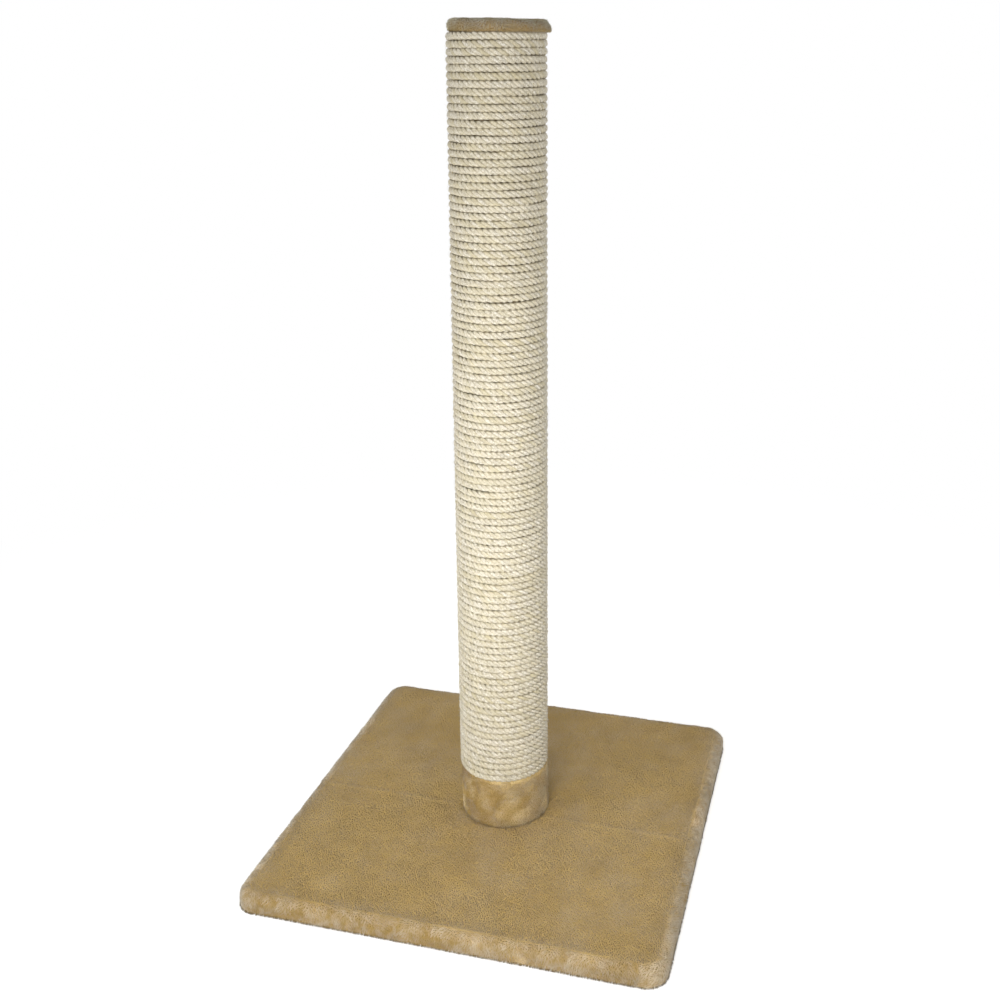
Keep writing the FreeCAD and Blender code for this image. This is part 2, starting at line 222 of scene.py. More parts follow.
# Fasteners: zinc-plated steel wire and turned or pressed zinc-plated steel; grey, slightly
# uneven gloss from the plating.
for name, nodes, shade, rough in [
    ("zinc-plated staple wire", ("cover_staples", "felt_staples", "bottom_plug_staples",
                                 "top_plug_staples", "rope_end_staples", "cap_staples"),
     "#b9b9bb", 0.32),
    ("zinc-plated steel", ("base_bolt", "base_washer", "post_tee_nut", "cap_screws"),
     "#a9abad", 0.38),
]:
    steel, tree = material(name)
    place = add(tree, "TexCoord").outputs["Object"]
    cloud = add(tree, "TexNoise", {"Vector": place, "Scale": 1 / 0.003, "Detail": 4.0})
    dull = add(tree, "MapRange", {"Value": cloud.outputs[0], "To Min": rough - 0.08,
                                  "To Max": rough + 0.14}).outputs[0]
    tint = mixed(tree, cloud.outputs[0], linear(shade), linear("#8d9093"))
    plated = add(tree, "BsdfPrincipled", {"Base Color": tint, "Metallic": 1.0,
                                          "Roughness": dull})
    add(tree, "OutputMaterial", {"Surface": plated.outputs[0]})
    for node in nodes:
        dress(node, steel)

# Tube: spirally wound grey-brown cardboard; matt, with the faint slanting laps of its plies.
cardboard, tree = material("wound cardboard")
place = add(tree, "TexCoord").outputs["Object"]
laps = add(tree, "TexWave", {"Vector": add(tree, "Mapping", {
    "Vector": place, "Rotation": (0.5, 0.0, 0.0)}).outputs[0], "Scale": 1 / 0.35,
    "Distortion": 0.4}, bands_direction="Z")
pulp = add(tree, "TexNoise", {"Vector": place, "Scale": 1 / 0.002, "Detail": 5.0})
brown = mixed(tree, pulp.outputs[0], linear("#a48b67"), linear("#8a7352"))
brown = mixed(tree, add(tree, "Math", {0: laps.outputs["Fac"], 1: 0.25},
                        operation="MULTIPLY").outputs[0], brown, linear("#6f5a3e"))
paper = add(tree, "BsdfPrincipled", {"Base Color": brown, "Roughness": 0.88})
add(tree, "OutputMaterial", {"Surface": paper.outputs[0]})
dress("post_tube", cardboard)

# Base plush: short-pile polyester plush drawn over the board, folded under it and stapled. The
# backing is one sheet; the pile stands on it as separate tufts, brushed flat on the top and
# turned down over the rim.
base_low, base_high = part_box("base_plush_cover")
half_side = base_high.x
base_top = base_high.z
base_under = base_low.z
top_sink = 0.0014            # backing below the pile's tips on the flat top
side_sink = 0.0022           # and behind them on the rim
base_corner = 0.026
top_round = 0.0092
foot_round = 0.0014
backing_thickness = 0.0018
margin_width = 0.034
board_underside = 0.0022
skin_half = half_side - side_sink
skin_corner = base_corner - side_sink
skin_top = base_top - top_sink
mesh_step = 0.012            # of the backing's faces on the flat top ...
mesh_step_at_post = 0.005    # ... and round the post's foot
root_sink = 0.0002           # how deep a tuft's root stands in the backing
fold_y = -0.0180             # the sheet's old packing fold, left to right past the post's foot


def soft_noise(points, wavelength, seed):
    """Smooth random values, mostly from -1 to 1, at an array of points in metres."""
    dice = np.random.default_rng(seed)
    waves = dice.normal(size=(16, 3))
    waves *= (2 * np.pi / wavelength / np.linalg.norm(waves, axis=1)
              * dice.uniform(0.6, 1.4, 16))[:, None]
    return np.sin(points @ waves.T + dice.uniform(0, 2 * np.pi, 16)).sum(1) / 4


def base_relief(points):
    """How far the plush's backing stands above or below its flat top."""
    out = np.hypot(points[:, 0], points[:, 1])
    padded = 0.00022 * soft_noise(points, 0.085, 11) + 0.00007 * soft_noise(points, 0.028, 12)
    fold = 0.0002 * np.exp(-((points[:, 1] - fold_y) / 0.0035) ** 2)
    foot = -0.0013 * np.clip((0.0565 - out) / 0.008, 0, 1)
    return padded * (out > 0.05) + fold + foot


form = bmesh.new()
bmesh.ops.create_cube(form, size=1.0)
bmesh.ops.scale(form, vec=(2 * skin_half, 2 * skin_half, skin_top - base_under), verts=form.verts)
bmesh.ops.translate(form, vec=(0, 0, (skin_top + base_under) / 2), verts=form.verts)
upright = [e for e in form.edges if abs(e.verts[0].co.z - e.verts[1].co.z) > 0.01]
bmesh.ops.bevel(form, geom=upright, offset=skin_corner, segments=8, profile=0.5,
                affect="EDGES", material=-1)
for level, offset, segments in ((skin_top, top_round, 5), (base_under, foot_round, 3)):
    ring = [e for e in form.edges if all(abs(v.co.z - level) < 1e-6 for v in e.verts)]
    bmesh.ops.bevel(form, geom=ring, offset=offset, segments=segments, profile=0.5,
                    affect="EDGES", material=-1)
below = [f for f in form.faces if f.normal.z < -0.999]
bmesh.ops.inset_region(form, faces=below, thickness=margin_width, use_even_offset=True)
opening_half = skin_half - foot_round - margin_width
for vert in form.verts:      # the margins are wider than the corner is round: one mitre each
    if max(abs(vert.co.x), abs(vert.co.y)) < half_side - base_corner + 1e-4:
        vert.co.x = math.copysign(min(abs(vert.co.x), opening_half), vert.co.x)
        vert.co.y = math.copysign(min(abs(vert.co.y), opening_half), vert.co.y)
bmesh.ops.remove_doubles(form, verts=form.verts, dist=1e-6)
below = [f for f in form.faces if f.normal.z < -0.999 and f.calc_area() > 0.1]
bmesh.ops.delete(form, geom=below, context="FACES")
cuts = sorted(set(np.round(np.r_[-0.24:0.2401:mesh_step, -0.06:0.0601:mesh_step_at_post], 5)))
for normal in ((1, 0, 0), (0, 1, 0)):
    for cut in cuts:
        bmesh.ops.bisect_plane(form, geom=form.verts[:] + form.edges[:] + form.faces[:],
                               plane_co=(cut, cut, 0), plane_no=normal)
for vert in form.verts:
    if vert.co.z > skin_top - 1e-5:
        vert.co.z += float(base_relief(np.array([vert.co]))[0])
bmesh.ops.recalc_face_normals(form, faces=form.faces)
skin_mesh = bpy.data.meshes.new("base_plush")
form.to_mesh(skin_mesh)
form.free()
base_skin = bpy.data.objects.new("base_plush", skin_mesh)
bpy.context.scene.collection.objects.link(base_skin)
wall = base_skin.modifiers.new("backing", "SOLIDIFY")
wall.thickness = backing_thickness
wall.offset = -1.0
bpy.context.view_layer.update()
skin_mesh = bpy.data.meshes.new_from_object(
    base_skin.evaluated_get(bpy.context.evaluated_depsgraph_get()))
base_skin.modifiers.clear()
base_skin.data = skin_mesh
for vert in skin_mesh.vertices:
    reach = max(abs(vert.co.x), abs(vert.co.y))
    if base_under + 1e-4 < vert.co.z < 0.005 and reach < 0.2455:
        vert.co.z = board_underside - 0.0001     # the margin's inner face, clear of the board


# Plush: crimped polyester fibre, woven and sheared; it scatters light softly, reads paler
# where the pile stands up or is brushed away from the eye, and is painted darker at its roots,
# painted shade down in the pile. Below -1, brushed means darker: soiling for the speck on the
# top, painted shade for the hem's edge.
def plush(name, deep, tan, pale, patch, seed):
    """A plush material from its root (painted shade), lying-pile and standing-pile colours; patch
    in metres.
    """
    made, tree = material(name)
    place = add(tree, "TexCoord").outputs["Object"]
    place = add(tree, "Mapping", {"Vector": place, "Location": (seed, seed, seed)}).outputs[0]
    broad = add(tree, "TexNoise", {"Vector": place, "Scale": 1 / patch, "Detail": 2.0})
    small = add(tree, "TexNoise", {"Vector": place, "Scale": 4 / patch, "Detail": 3.0})
    fine = add(tree, "TexNoise", {"Vector": place, "Scale": 1 / 0.0012, "Detail": 2.0})
    height = add(tree, "Attribute", attribute_name="tuft_height").outputs["Fac"]
    brushed = add(tree, "Attribute", attribute_name="brushed").outputs["Fac"]
    cloud = add(tree, "MapRange", {"Value": broad.outputs[0], "From Min": 0.35,
                                   "From Max": 0.65, "To Min": 0.0, "To Max": 0.16},
                interpolation_type="SMOOTHSTEP").outputs[0]
    fleck = add(tree, "MapRange", {"Value": small.outputs[0], "From Min": 0.3,
                                   "From Max": 0.7, "To Min": -0.06, "To Max": 0.06}).outputs[0]
    paleness = add(tree, "Math", {0: cloud, 1: fleck}, operation="ADD").outputs[0]
    paleness = add(tree, "Math", {0: paleness, 1: brushed}, operation="ADD",
                   use_clamp=True).outputs[0]
    pile = mixed(tree, paleness, linear(tan), linear(pale))
    grain = add(tree, "MapRange", {"Value": fine.outputs[0], "To Min": 0.93,
                                   "To Max": 1.07}).outputs[0]
    pile = mixed(tree, 1.0, pile, add(tree, "CombineColor", {0: grain, 1: grain,
                                                             2: grain}).outputs[0], "MULTIPLY")
    # Dark below -1: real soiling at the speck, painted shade at the hem's edge.
    soil_and_painted_shade = add(tree, "MapRange", {"Value": brushed, "From Min": -2.0, "From Max": -1.0,
                                    "To Min": 0.85, "To Max": 0.0}).outputs[0]
    pile = mixed(tree, soil_and_painted_shade, pile, linear("#2b241c"))
    # Painted shade: towards the tufts' roots the colour goes over to the root colour.
    up = add(tree, "MapRange", {"Value": height, "From Max": 0.7}).outputs[0]
    pile = mixed(tree, up, linear(deep), pile)
    fibre = add(tree, "BsdfPrincipled", {"Base Color": pile, "Roughness": 0.75,
                                         "Sheen Weight": 0.25, "Sheen Roughness": 0.4,
                                         "Specular IOR Level": 0.25})
    add(tree, "OutputMaterial", {"Surface": fibre.outputs[0]})
    return made


base_plush = plush("tan short-pile plush", "#c4a563", "#cfae69", "#fbeed6", 0.11, 0.0)
skin_mesh.materials.append(base_plush)


def point_values(mesh, name, values):
    """Stores one number per vertex for the materials to read."""
    mesh.attributes.new(name, "FLOAT", "POINT").data.foreach_set(
        "value", np.asarray(values, np.float32))


def places_of(mesh):
    """A mesh's vertices as an array."""
    found = np.empty(len(mesh.vertices) * 3, np.float32)
    mesh.vertices.foreach_get("co", found)
    return found.reshape(-1, 3).astype(float)


# The backing between the tufts is painted partly in the root colour: painted shade.
point_values(skin_mesh, "tuft_height", np.full(len(skin_mesh.vertices), 0.75))
point_values(skin_mesh, "brushed", np.full(len(skin_mesh.vertices), 0.12))
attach(base_skin, "root")
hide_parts("base_plush_cover")

# One tuft: three-sided, pointed, unit high and unit wide, cut from the same cone each time.
tuft_form = bmesh.new()
bmesh.ops.create_cone(tuft_form, cap_ends=True, segments=3, radius1=0.5, radius2=0.0, depth=1.0)
bmesh.ops.translate(tuft_form, vec=(0, 0, 0.5), verts=tuft_form.verts)
bmesh.ops.triangulate(tuft_form, faces=tuft_form.faces)
bmesh.ops.recalc_face_normals(tuft_form, faces=tuft_form.faces)
tuft_mesh = bpy.data.meshes.new("tuft")
tuft_form.to_mesh(tuft_mesh)
tuft_form.free()
tuft_points = places_of(tuft_mesh)
tuft_corners = np.array([v for f in tuft_mesh.polygons for v in f.vertices])
bpy.data.meshes.remove(tuft_mesh)


def pile(name, finish, roots, aims, widths, brushed, unrolled):
    """Copies of the tuft on an array of roots; aims are the vectors from root to tip.

    unrolled gives each point's place on the piece's own flat map, in 0 to 1.
    """
    lengths = np.linalg.norm(aims, axis=1, keepdims=True)
    ahead = aims / lengths
    aside = np.cross(ahead, [0.31, -0.17, 0.94])
    aside /= np.linalg.norm(aside, axis=1, keepdims=True)
    across = np.cross(ahead, aside)
    shape = tuft_points
    points = (roots[:, None] + shape[None, :, 2:] * aims[:, None]
              + shape[None, :, :1] * (aside * widths[:, None])[:, None]
              + shape[None, :, 1:2] * (across * widths[:, None])[:, None]).reshape(-1, 3)
    corners = (tuft_corners[None] + len(shape) * np.arange(len(roots))[:, None]).ravel()
    mesh = bpy.data.meshes.new(name)
    mesh.vertices.add(len(points))
    mesh.vertices.foreach_set("co", points.astype(np.float32).ravel())
    mesh.loops.add(len(corners))
    mesh.loops.foreach_set("vertex_index", corners.astype(np.int32))
    mesh.polygons.add(len(corners) // 3)
    mesh.polygons.foreach_set("loop_start", np.arange(0, len(corners), 3, dtype=np.int32))
    mesh.update(calc_edges=True)
    point_values(mesh, "tuft_height", np.tile(shape[:, 2], len(roots)))
    point_values(mesh, "brushed", np.repeat(brushed, len(shape)))
    flat = mesh.uv_layers.new(name="OFBake")
    flat.uv.foreach_set("vector", unrolled(points)[corners].astype(np.float32).ravel())
    mesh.materials.append(finish)
    made = bpy.data.objects.new(name, mesh)
    bpy.context.scene.collection.objects.link(made)
    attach(made, "root")
    return made


tuft_spacing = 0.00132
tuft_width = 0.00125         # on the collar and the cap
top_tuft_width = 0.00150
rim_tuft_width = 0.00135
hem_tuft_width = 0.0022
top_pile_length = 0.0044
rim_pile_length = 0.0047
hem_pile_length = 0.0034
collar_pile_length = 0.0038
cap_pile_length = 0.0040
brushed_way = math.radians(115)   # of the flat top: towards the back and a little to the left
olive_spot_x, olive_spot_y = -0.209, -0.2135     # a stain near the front left corner
speck_x, speck_y = -0.166, 0.0135                # a dark speck on the left
flat_half = skin_half - top_round
flat_corner = skin_corner - top_round
collar_foot_radius = 0.0510
dice = np.random.default_rng(5)


def inside_rounded(x, y, half, corner):
    """How far points lie inside a rounded square, in metres; negative outside."""
    over = np.maximum(np.abs(np.stack([x, y])) - (half - corner), 0)
    deep = half - corner - np.maximum(np.abs(x), np.abs(y))
    return np.where(over.any(0), corner - np.hypot(*over), deep + corner)


def stagger(wide, high, spacing):
    """Points on a staggered grid, each moved a little at random."""
    rows = int(high / spacing * 1.1547)
    columns = int(wide / spacing)
    u, v = np.meshgrid(np.arange(columns), np.arange(rows))
    u = (u + 0.5 * (v % 2)) / columns * wide + dice.uniform(-0.4, 0.4, u.shape) * spacing
    v = (v + 0.5) / rows * high + dice.uniform(-0.35, 0.35, v.shape) * spacing
    return u.ravel(), v.ravel()


# Lying pile of the flat top: brushed towards the back, with soft swirls.
x, y = stagger(2 * flat_half, 2 * flat_half, tuft_spacing)
x, y = x - flat_half, y - flat_half
keep = (inside_rounded(x, y, flat_half, flat_corner) > 0) & (np.hypot(x, y) > collar_foot_radius)
x, y = x[keep], y[keep]
roots = np.stack([x, y, np.full_like(x, skin_top)], 1)
roots[:, 2] += base_relief(roots) - root_sink
way = (brushed_way + 0.35 * soft_noise(roots, 0.13, 21) + 0.22 * soft_noise(roots, 0.04, 22)
       + dice.normal(0, 0.18, len(x)))
lean = np.radians(82.5 + 0.8 * soft_noise(roots, 0.05, 23) + dice.normal(0, 1.6, len(x)))
edge = 1 - np.clip(inside_rounded(x, y, flat_half, flat_corner) / 0.018, 0, 1)
lean -= 0.04 * edge
long = top_pile_length * dice.uniform(0.8, 1.15, len(x)) * (1 + 0.12 * edge)
top_aims = np.stack([np.sin(lean) * np.cos(way), np.sin(lean) * np.sin(way), np.cos(lean)],
                    1) * long[:, None]
olive_spot = np.exp(-(np.hypot(x - olive_spot_x, y - olive_spot_y) / 0.009) ** 2)
speck = np.exp(-(np.hypot(x - speck_x, y - speck_y) / 0.0025) ** 2)
fold_line = np.exp(-((y - fold_y) / 0.004) ** 2) * np.clip((np.abs(x) - 0.05) / 0.02, 0, 1)
top_brushed = (0.05 * soft_noise(roots, 0.05, 24) + 0.035 * soft_noise(roots, 0.018, 25)
               + 0.20 * edge ** 2 + dice.normal(0, 0.03, len(x)) + 0.12 * fold_line
               - 0.9 * olive_spot - 2.2 * speck)
top_roots = roots

# Rim pile: longer, turned down over the edge, standing and pale along the edge itself. Its
# lowest rows stick out flat and are painted dark, a painted shade line along the base's foot,
# for the thin dark line that the photograph has there.
rim_lap = 0.004              # how far in the rim's pile begins, over the lying pile
straight = 2 * (half_side - base_corner)
quarter = math.pi / 2 * base_corner
round_trip = 4 * (straight + quarter)
over_edge = math.pi / 2 * top_round
down_side = (skin_top - top_round) - (base_under + foot_round)
under_foot = 0.8 * math.pi / 2 * foot_round
t, s = stagger(round_trip, rim_lap + over_edge + down_side + under_foot, tuft_spacing)
s -= rim_lap
side, on = np.divmod(t % round_trip, straight + quarter)
turned = np.clip(on - straight, 0, quarter) / base_corner
facing = side * math.pi / 2 - math.pi / 2 + turned
corner_x, corner_y = half_side - base_corner, -(half_side - base_corner)
along = np.minimum(on, straight) - straight
turn_side = side * math.pi / 2
base_x = corner_x + along
centre_x = np.cos(turn_side) * base_x - np.sin(turn_side) * corner_y
centre_y = np.sin(turn_side) * base_x + np.cos(turn_side) * corner_y
bent = np.clip(s / top_round, 0, math.pi / 2)
foot = np.clip((s - over_edge - down_side) / foot_round, 0, math.pi / 2)
inset = (side_sink + top_round * (1 - np.sin(bent)) + foot_round * (1 - np.cos(foot))
         + np.clip(-s, 0, None))
level = (skin_top - top_round * (1 - np.cos(bent))
         - np.clip(s - over_edge, 0, down_side) - foot_round * np.sin(foot))
outward = np.stack([np.cos(facing), np.sin(facing), np.zeros_like(facing)], 1)
reach = (base_corner - inset)[:, None]
roots = np.stack([centre_x, centre_y, level], 1) + outward * reach
tilt = bent + foot
normal = outward * np.sin(tilt)[:, None] + [0, 0, 1] * np.cos(tilt)[:, None]
downhill = outward * np.cos(tilt)[:, None] - [0, 0, 1] * np.sin(tilt)[:, None]
sideways = np.cross(normal, downhill)
roots += normal * (0.0002 * soft_noise(roots, 0.04, 31) - root_sink)[:, None]
swirl = (0.75 * soft_noise(roots, 0.045, 32) + 0.45 * soft_noise(roots, 0.016, 33)
         + dice.normal(0, 0.22, len(t)))
lean = np.radians(67 + 4 * soft_noise(roots, 0.02, 34) + dice.normal(0, 4.5, len(t)))
low_down = np.clip((s - over_edge) / down_side, 0, 1)
lean += 0.10 * low_down + 0.17 * np.clip(1 - bent / 1.1, 0, 1)
long = rim_pile_length * dice.uniform(0.75, 1.2, len(t)) * (1 - 0.25 * (foot > 0.3))
rim_aims = (normal * np.cos(lean)[:, None]
            + (downhill * np.cos(swirl)[:, None] + sideways * np.sin(swirl)[:, None])
            * np.sin(lean)[:, None]) * long[:, None]
hem = foot > 0.15
rim_aims[:, 2] = np.maximum(rim_aims[:, 2], np.where(hem, 0.0002, 0.0009) - roots[:, 2])
rim_aims[hem] = outward[hem] * hem_pile_length - [0, 0, 1] * (roots[hem, 2:] - 0.0003)
tan_patch = np.clip(soft_noise(roots, 0.055, 35) - 0.15, 0, 1) * (bent > 1.0)
# The term along x paints the left and right rims paler: painted light on sides that the lamps
# leave in shade.
rim_brushed = (0.40 + 0.26 * soft_noise(roots, 0.010, 36) + 0.10 * soft_noise(roots, 0.05, 37)
               + 0.40 * np.abs(outward[:, 0]) - 0.60 * tan_patch
               + dice.normal(0, 0.16, len(t))) * np.clip((s + 0.006) / 0.009, 0.25, 1)
# The hem's tufts are painted near black: painted shade along the base's foot.
rim_brushed = np.where(hem, -2.0, np.maximum(rim_brushed, -0.5))
rim_roots = roots


def base_map(points):
    """The base's plush laid flat: the top in the middle, the rim's height folded outwards."""
    out = np.maximum(np.abs(points[:, :2]).max(1), 1e-6)
    drop = np.clip(base_top - points[:, 2], 0, None) * (out > half_side - 0.012)
    return points[:, :2] * (1 + drop / out)[:, None] / 0.56 + 0.5


roots = np.concatenate([top_roots, rim_roots])
aims = np.concatenate([top_aims, rim_aims])
brushed = np.concatenate([top_brushed, rim_brushed])
widths = np.concatenate([np.full(len(top_roots), top_tuft_width),
                         np.where(hem, hem_tuft_width, rim_tuft_width)])
widths *= dice.uniform(0.85, 1.15, len(widths))
for name, part in [("base_pile_front_left", (roots[:, 0] < 0) & (roots[:, 1] < 0)),
                   ("base_pile_front_right", (roots[:, 0] >= 0) & (roots[:, 1] < 0)),
                   ("base_pile_back_left", (roots[:, 0] < 0) & (roots[:, 1] >= 0)),
                   ("base_pile_back_right", (roots[:, 0] >= 0) & (roots[:, 1] >= 0))]:
    piece = pile(name, base_plush, roots[part], aims[part], widths[part], brushed[part],
                 base_map)
    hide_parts("base_plush_cover")

# Collar: a strip of the same plush, glued round the tube's foot with its edges under the
# rope's first turn and against the base. Its pile is swirled by handling.
collar_low, collar_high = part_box("collar_plush")
collar_inner = 0.0466
collar_radius = 0.0521       # backing, under the pile
collar_foot = collar_low.z - 0.0011
collar_head = collar_high.z - 0.0004
collar_round = 0.0032


def collar_bulge(azimuth, z):
    """How far the collar's backing stands out from its plain round."""
    ring = np.stack([0.05 * np.cos(azimuth), 0.05 * np.sin(azimuth), z], 1)
    lap = 0.0013 * np.cos(azimuth - math.radians(15))
    belly = 0.0005 * np.cos((z - 0.050) / 0.031 * math.pi / 2)
    return lap + belly + 0.00045 * soft_noise(ring, 0.04, 41)


form = bmesh.new()
rounding = [(collar_radius - collar_round * (1 - math.sin(a)), collar_round * (1 - math.cos(a)))
            for a in np.radians([0, 22, 45, 67, 90])]
profile = [(collar_inner, collar_foot)]
profile += [(r, collar_foot + up) for r, up in rounding]
profile += [(collar_radius, z) for z in np.linspace(collar_foot + 0.009, collar_head - 0.009, 8)]
profile += [(r, collar_head - up) for r, up in reversed(rounding)]
profile += [(collar_inner, collar_head)]
verts = [form.verts.new((r, 0, z)) for r, z in profile]
edges = [form.edges.new(pair) for pair in zip(verts, verts[1:] + verts[:1])]
bmesh.ops.spin(form, geom=verts + edges, cent=(0, 0, 0), axis=(0, 0, 1), angle=2 * math.pi,
               steps=120, use_merge=True)
for vert in form.verts:
    out = math.hypot(vert.co.x, vert.co.y)
    if out > collar_inner + 0.001:
        around = np.array([math.atan2(vert.co.y, vert.co.x)])
        grow = 1 + float(collar_bulge(around, np.array([vert.co.z]))[0]) / out
        vert.co.x *= grow
        vert.co.y *= grow
bmesh.ops.recalc_face_normals(form, faces=form.faces)
collar_mesh = bpy.data.meshes.new("collar_plush_strip")
form.to_mesh(collar_mesh)
form.free()
collar_plush = plush("tan plush, swirled", "#b4934f", "#d0b069", "#f6e4b8", 0.05, 3.0)
collar_mesh.materials.append(collar_plush)
# The backing takes part of the root colour: painted shade between the tufts.
point_values(collar_mesh, "tuft_height", np.full(len(collar_mesh.vertices), 0.60))
point_values(collar_mesh, "brushed", np.full(len(collar_mesh.vertices), 0.35))
collar = bpy.data.objects.new("collar_plush_strip", collar_mesh)
bpy.context.scene.collection.objects.link(collar)
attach(collar, "root")
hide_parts("collar_plush")

u, z = stagger(2 * math.pi * collar_radius, collar_head - collar_foot, tuft_spacing)
azimuth = u / collar_radius
z = z + collar_foot
end = np.minimum(z - collar_foot, collar_head - z)
drawn_in = np.where(end < collar_round, collar_round - np.sqrt(np.clip(
    collar_round ** 2 - (collar_round - np.clip(end, 0, None)) ** 2, 0, None)), 0.0)
radius = collar_radius + collar_bulge(azimuth, z) - root_sink - drawn_in
outward = np.stack([np.cos(azimuth), np.sin(azimuth), np.zeros_like(azimuth)], 1)
roots = outward * radius[:, None] + [0, 0, 1] * z[:, None]
sideways = np.stack([-np.sin(azimuth), np.cos(azimuth), np.zeros_like(azimuth)], 1)
swirl = (1.1 * soft_noise(roots, 0.045, 42) + 0.8 * soft_noise(roots, 0.02, 43)
         + dice.normal(0, 0.25, len(z)))
lean = np.radians(62 + 8 * soft_noise(roots, 0.02, 44) + dice.normal(0, 5, len(z)))
long = collar_pile_length * dice.uniform(0.75, 1.2, len(z))
aims = (outward * np.cos(lean)[:, None]
        + ([0, 0, -1] * np.cos(swirl)[:, None] + sideways * np.sin(swirl)[:, None])
        * np.sin(lean)[:, None]) * long[:, None]
near_foot = np.clip(1 - (z - collar_foot) / 0.016, 0, 1)
# Paler towards +x: partly the pile's paler swirl there, partly painted light on the side that the
# lamps leave in shade.
brushed = (0.15 + 0.34 * soft_noise(roots, 0.024, 45) + 0.14 * soft_noise(roots, 0.009, 46)
           + 0.20 * near_foot + 0.62 * np.clip(np.cos(azimuth), 0, 1)
           + dice.normal(0, 0.08, len(z)))
collar_pile = pile("collar_pile", collar_plush, roots, aims,
                   tuft_width * dice.uniform(0.85, 1.15, len(z)), brushed,
                   lambda points: np.stack(
                       [np.arctan2(points[:, 1], points[:, 0]) / 2 / math.pi + 0.5,
                        (points[:, 2] - 0.015) / 0.075], 1))
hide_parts("collar_plush")

# Sisal rope: 8 mm, three strands laid right-handed, wound 108 turns up the tube on glue. Each
# strand is a swept curve; a turn is nearly level at the front and climbs at the back.
rope_low, rope_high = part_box("sisal_rope")
rope_diameter = 0.0080
rope_turns = 108
rope_radius = 0.0508
turn_pitch = (rope_high.z - rope_low.z - rope_diameter) / (rope_turns - 1)
first_azimuth = math.radians(152)
level_turn = 0.75            # of each turn, before it climbs
front_rise = 0.25            # share of the pitch that is climbed evenly all round
lay_length = 0.0200          # of the rope, for one twist of its strands
strand_radius = 0.00214
strand_offset = 0.00212
turn_squeeze = 1.15          # how much taller than deep the turns are, pressed on the tube
points_per_lay = 7
strand_sides = 8             # what a bevel resolution of 2 gives
fibre_twist = 290.0          # radians a metre, of the fibres round their strand
fibre_stretch = 0.0055       # length of a fibre's visible streak

whole_turns = rope_turns - 1 + level_turn
turn_length = 2 * math.pi * rope_radius
rope_length = whole_turns * turn_length
count = int(rope_length / lay_length * points_per_lay)
run = np.linspace(0, rope_length, count)
turns = run / turn_length
share = np.clip((turns % 1 - level_turn) / (1 - level_turn), 0, 1)
stepped = np.floor(turns) + share * share * (3 - 2 * share)
even_climb = turns - level_turn / 2
climbed = (1 - front_rise) * stepped + front_rise * even_climb
climbed = np.clip(climbed, 0, rope_turns - 1)
angle = first_azimuth + 2 * math.pi * turns
wander = np.stack([run, np.zeros(count), np.zeros(count)], 1)
middle_z = (rope_low.z + rope_diameter / 2 + turn_pitch * climbed
            + 0.00020 * soft_noise(wander, 0.11, 51) + 0.00016 * soft_noise(wander, 0.035, 52))
middle_r = rope_radius + 0.00012 * soft_noise(wander, 0.06, 53)
outward = np.stack([np.cos(angle), np.sin(angle), np.zeros(count)], 1)
middle = outward * middle_r[:, None] + [0, 0, 1] * middle_z[:, None]
twist = -2 * math.pi * (run + 0.0016 * soft_noise(wander, 0.09, 54)) / lay_length

# Sisal: combed agave leaf fibre, oiled and spun; pale cream and slightly glossy along the
# fibres, and painted darker and browner down in the grooves between the turns: painted shade.
sisal, tree = material("combed sisal fibre")
fibre_place = add(tree, "Attribute", attribute_name="fibre_place").outputs["Vector"]
painted_groove_shade = add(tree, "Attribute", attribute_name="painted_groove_shade").outputs["Fac"]
tint = add(tree, "Attribute", attribute_name="tint").outputs["Fac"]
streaks = add(tree, "TexNoise", {"Vector": fibre_place, "Scale": 3.6, "Detail": 3.0,
                                 "Roughness": 0.6})
patches = add(tree, "TexNoise", {"Vector": add(tree, "TexCoord").outputs["Object"],
                                 "Scale": 1 / 0.012, "Detail": 2.0})
spread = add(tree, "MapRange", {"Value": streaks.outputs[0], "From Min": 0.36,
                                "From Max": 0.64}).outputs[0]
pale = mixed(tree, spread, linear("#aea283"), linear("#fdf9ee"))
warm = add(tree, "MapRange", {"Value": patches.outputs[0], "From Min": 0.45,
                              "From Max": 0.75, "To Max": 0.55}).outputs[0]
pale = mixed(tree, warm, pale, linear("#e4dabe"))
pale = mixed(tree, tint, pale, linear("#c4b88f"))
# Painted shade: darker and browner the deeper a point lies between the turns.
deep = add(tree, "MapRange", {"Value": painted_groove_shade, "From Min": 0.45, "From Max": 1.0,
                              "To Max": 0.5}, interpolation_type="SMOOTHSTEP").outputs[0]
pale = mixed(tree, deep, pale, linear("#8a7850"))
ridges = add(tree, "Bump", {"Strength": 0.8, "Distance": 0.0004,
                            "Height": streaks.outputs[0]})
fibre = add(tree, "BsdfPrincipled", {"Base Color": pale, "Roughness": 0.45,
                                     "Sheen Weight": 0.1, "Specular IOR Level": 0.4,
                                     "Normal": ridges.outputs[0]})
add(tree, "OutputMaterial", {"Surface": fibre.outputs[0]})

